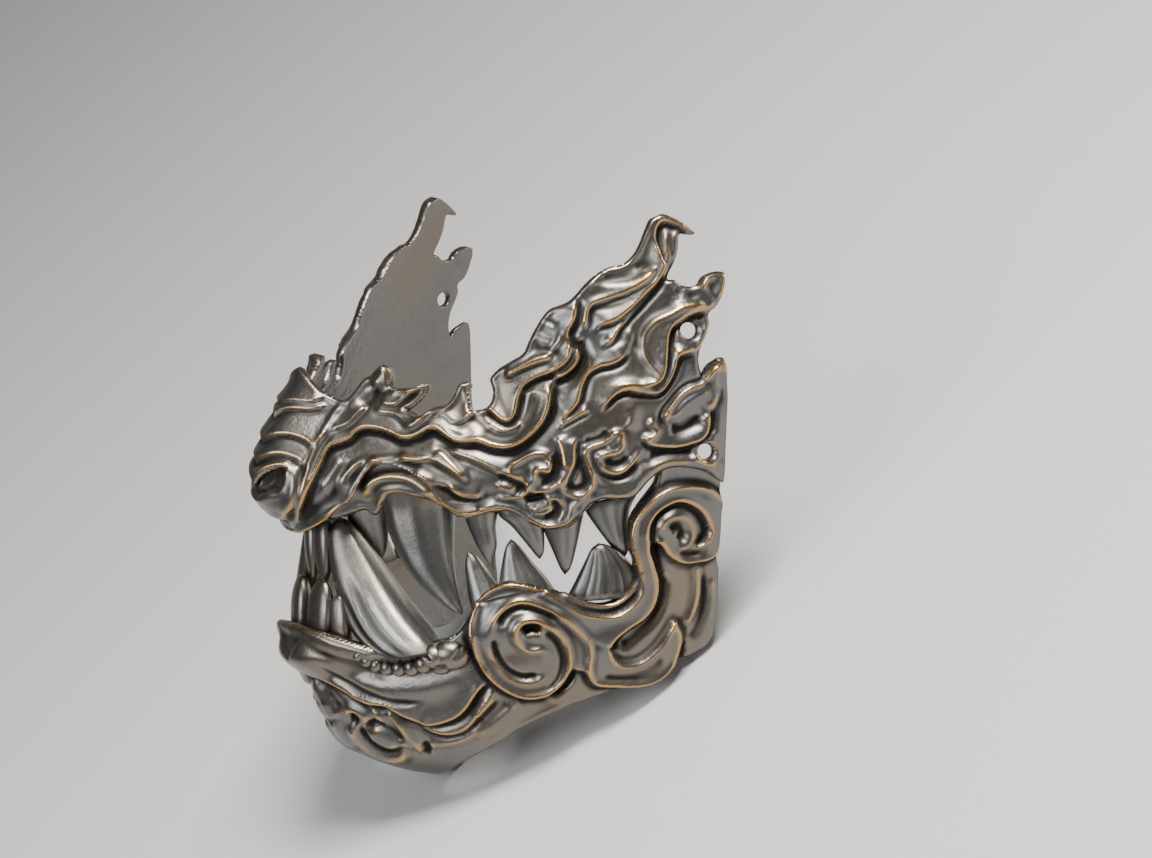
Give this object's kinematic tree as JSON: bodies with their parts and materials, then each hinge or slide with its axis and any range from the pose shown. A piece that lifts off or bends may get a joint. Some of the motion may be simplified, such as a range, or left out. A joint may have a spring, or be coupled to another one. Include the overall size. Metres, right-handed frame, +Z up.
{
  "type": "samurai face guard",
  "caption": "Metal half-mask worn over nose, cheeks and jaw, formed as a snarling beast with tusks, fangs, flame crest and scrolled jaw.",
  "frame": {"origin": "centre of the bounding box's base, on the surface that the guard stands on", "axes": "+X to the wearer's left, +Y to the wearer's back, +Z up, with the guard leaned back 37.96 degrees on its chin and the jaw's rear corners"},
  "size_m": [0.149, 0.1454, 0.121],
  "materials": {
    "plate": "dark patinated steel, near black in the creases, with edges worn to golden brown",
    "gum": "dark patinated steel, satin",
    "tooth": "grey steel, satin, with lengthwise streaks"
  },
  "bodies": {
    "root": {"upper_guard": "plate", "jaw_guard": "plate", "upper_gum": "gum", "gum_beads_left": "gum", "gum_beads_right": "gum", "upper_fang_left": "tooth", "upper_fang_right": "tooth", "upper_incisor_1_left": "tooth", "upper_incisor_1_right": "tooth", "upper_incisor_2_left": "tooth", "upper_incisor_2_right": "tooth", "upper_tooth_1_left": "tooth", "upper_tooth_1_right": "tooth", "upper_tooth_2_left": "tooth", "upper_tooth_2_right": "tooth", "upper_tooth_3_left": "tooth", "upper_tooth_3_right": "tooth", "upper_tooth_4_left": "tooth", "upper_tooth_4_right": "tooth", "lower_tusk_left": "tooth", "lower_tusk_right": "tooth", "lower_incisor_1_left": "tooth", "lower_incisor_1_right": "tooth", "lower_incisor_2_left": "tooth", "lower_incisor_2_right": "tooth", "lower_tooth_1_left": "tooth", "lower_tooth_1_right": "tooth", "lower_tooth_2_left": "tooth", "lower_tooth_2_right": "tooth", "lower_tooth_3_left": "tooth", "lower_tooth_3_right": "tooth"}
  },
  "joints": []
}
